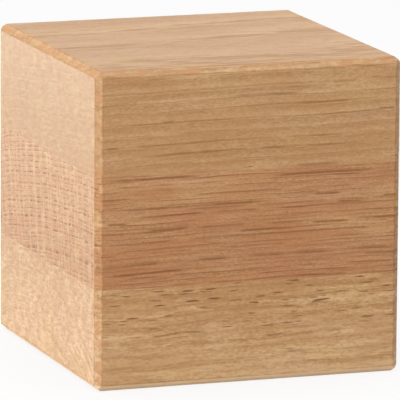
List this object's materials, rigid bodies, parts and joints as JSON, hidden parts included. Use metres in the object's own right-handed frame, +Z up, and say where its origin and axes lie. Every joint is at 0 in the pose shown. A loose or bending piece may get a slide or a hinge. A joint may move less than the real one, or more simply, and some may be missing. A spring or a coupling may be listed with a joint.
{
  "type": "wooden cube",
  "caption": "Solid oak cube glued up from stacked boards, with chamfered edges: a block to stand, build or display small things on.",
  "frame": {"origin": "centre of the underside, the face the cube stands on", "axes": "+X along the grain, so the two X faces are end grain; +Y towards the back, away from the long-grain face that is seen in front; +Z up, across the glue seams"},
  "size_m": [0.06, 0.06, 0.06],
  "materials": {
    "oak_bottom": "matte",
    "oak_middle": "matte",
    "oak_top": "matte"
  },
  "bodies": {
    "root": {"bottom_stave": "oak_bottom", "middle_stave": "oak_middle", "top_stave": "oak_top"}
  },
  "joints": []
}
